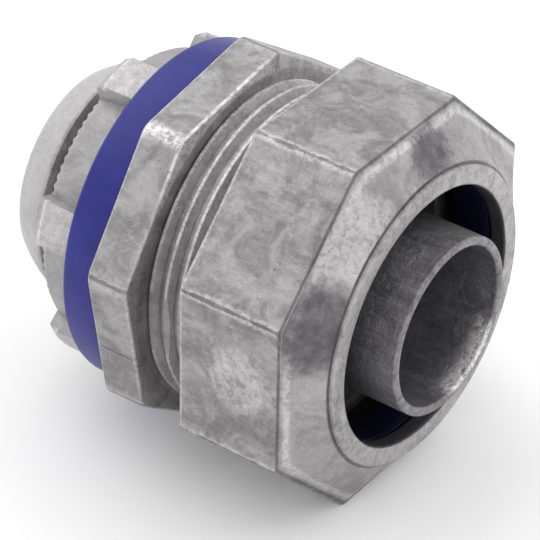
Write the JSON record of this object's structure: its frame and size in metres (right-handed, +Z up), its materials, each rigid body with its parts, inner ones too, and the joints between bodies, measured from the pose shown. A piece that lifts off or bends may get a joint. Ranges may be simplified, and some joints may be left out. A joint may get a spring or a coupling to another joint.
{
  "type": "liquidtight conduit connector",
  "caption": "Straight cast metal conduit connector: flanged body, inner ferrule, gland nut with flats, sealing rings and a toothed locknut.",
  "frame": {"origin": "under the middle of the connector's length, on the surface that it lies on", "axes": "+X along the axis out of the mouth that takes the conduit, +Z up, away from the nut flat that it lies on"},
  "size_m": [0.0366, 0.0326, 0.0326],
  "materials": {
    "cast_body": "as-cast pale grey zinc, mottled",
    "cast_ferrule": "as-cast pale grey zinc",
    "blue_gasket": "moulded blue, semi-matt",
    "cast_locknut": "as-cast pale grey zinc",
    "blue_ring": "moulded blue, semi-matt",
    "cast_nut": "as-cast pale grey zinc, mottled"
  },
  "bodies": {
    "body": {"connector_body": "cast_body", "ferrule": "cast_ferrule"},
    "gasket": {"gasket": "blue_gasket"},
    "locknut": {"locknut": "cast_locknut"},
    "sealing_ring": {"sealing_ring": "blue_ring"},
    "gland_nut": {"gland_nut": "cast_nut"}
  },
  "joints": [
    {"name": "locknut_turn", "type": "hinge", "parent": "body", "child": "gasket", "pos_m": [-0.00935, 0, 0.01632], "axis": [1, 0, 0], "range_deg": [-720, 0]},
    {"name": "locknut_travel", "type": "slide", "parent": "gasket", "child": "locknut", "axis": [1, 0, 0], "range_m": [-0.00363, 0]},
    {"name": "gland_nut_travel", "type": "slide", "parent": "body", "child": "sealing_ring", "axis": [1, 0, 0], "range_m": [-0.00141, 0.00423]},
    {"name": "gland_nut_turn", "type": "hinge", "parent": "sealing_ring", "child": "gland_nut", "pos_m": [0.00965, 0, 0.01632], "axis": [1, 0, 0], "range_deg": [-360, 1080]}
  ],
  "couplings": [
    {"joint": "locknut_travel", "follows": "locknut_turn", "m_per_rad": 0.00028871},
    {"joint": "gland_nut_travel", "follows": "gland_nut_turn", "m_per_rad": 0.00022457}
  ]
}
